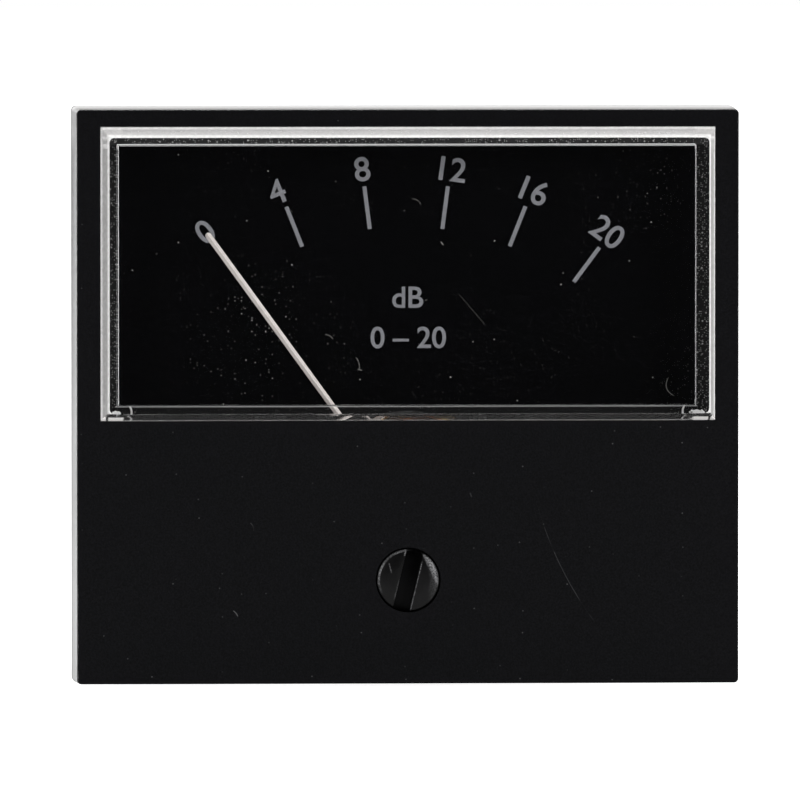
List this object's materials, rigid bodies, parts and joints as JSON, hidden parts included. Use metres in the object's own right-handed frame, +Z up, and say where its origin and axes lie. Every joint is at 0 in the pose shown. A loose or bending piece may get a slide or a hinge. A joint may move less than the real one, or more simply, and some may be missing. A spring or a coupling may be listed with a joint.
{
  "type": "analog panel meter",
  "caption": "Rectangular moving-coil panel meter with a clear raised window, black face, radial decibel scale, pointer and slotted zero screw; round case, studs and terminals behind.",
  "frame": {"origin": "centre of the flange's rear face, which seats on the panel", "axes": "+Z up as the dial is read, the face looks along -Y, +Y runs back along the case through the panel, +X to the right as the dial is read"},
  "size_m": [0.0604, 0.0426, 0.0524],
  "materials": {
    "clear_acrylic": "clear polished acrylic",
    "face_black": "fine matt black film",
    "case_black": "satin black moulding",
    "knob_black": "satin black nylon",
    "dial_black": "dull black enamel with grey print",
    "pointer_cream": "cream enamel",
    "stop_black": "black oxide",
    "plated_steel": "bright zinc plate",
    "nickel_brass": "dull nickel plate",
    "brass": "turned",
    "zinc_casting": "as cast",
    "soft_iron": "nickel wash",
    "magnet": "ground sintered magnet",
    "spacer_plastic": "natural nylon",
    "aluminium": "rolled foil",
    "enamelled_copper": "enamelled winding",
    "spring_bronze": "phosphor bronze strip",
    "ruby": "polished jewel",
    "wire_cover": "soft wire insulation"
  },
  "bodies": {
    "case": {"front_cover": "clear_acrylic", "face_mask": "face_black", "rear_case": "case_black", "mounting_studs": "plated_steel", "terminals": "nickel_brass", "terminal_washers": "plated_steel", "terminal_nuts": "nickel_brass", "solder_tags": "nickel_brass", "lead_wires": "wire_cover", "dial_plate": "dial_black", "dial_screws": "plated_steel", "pointer_stops": "stop_black", "core_magnet": "magnet", "yoke_ring": "soft_iron", "core_spacers": "spacer_plastic", "movement_frame": "zinc_casting", "frame_screws": "plated_steel", "front_bridge": "nickel_brass", "rear_bridge": "nickel_brass", "front_bridge_screws": "plated_steel", "rear_bridge_screws": "plated_steel", "front_jewel_screw": "brass", "rear_jewel_screw": "brass", "front_jewel": "ruby", "rear_jewel": "ruby", "front_jewel_nut": "brass", "rear_jewel_nut": "brass", "rear_spring_anchor": "nickel_brass", "arm_washer": "plated_steel"},
    "movement": {"pointer": "pointer_cream", "pointer_boss": "brass", "balance_weights": "brass", "coil_former": "aluminium", "coil_winding": "enamelled_copper", "front_pivot": "plated_steel", "rear_pivot": "plated_steel", "front_hairspring": "spring_bronze", "rear_hairspring": "spring_bronze"},
    "zero_adjuster": {"zero_screw": "knob_black", "zero_retainer": "plated_steel"},
    "zero_lever": {"zero_arm": "nickel_brass"}
  },
  "joints": [
    {"name": "pointer_swing", "type": "hinge", "parent": "case", "child": "movement", "pos_m": [0, 0.005, -0.0102], "axis": [0, 1, 0], "range_deg": [-3, 75], "stiffness_Nm_per_rad": 0.00002, "deforming": ["front_hairspring", "rear_hairspring"]},
    {"name": "zero_screw_turn", "type": "hinge", "parent": "case", "child": "zero_adjuster", "pos_m": [0, -0.0095, -0.0166], "axis": [0, 1, 0], "range_deg": [-45, 45]},
    {"name": "zero_lever_swing", "type": "hinge", "parent": "case", "child": "zero_lever", "pos_m": [0, -0.006, -0.0102], "axis": [0, 1, 0], "range_deg": [-9, 9]}
  ],
  "couplings": [
    {"joint": "zero_lever_swing", "follows": "zero_screw_turn", "ratio": -0.19}
  ]
}
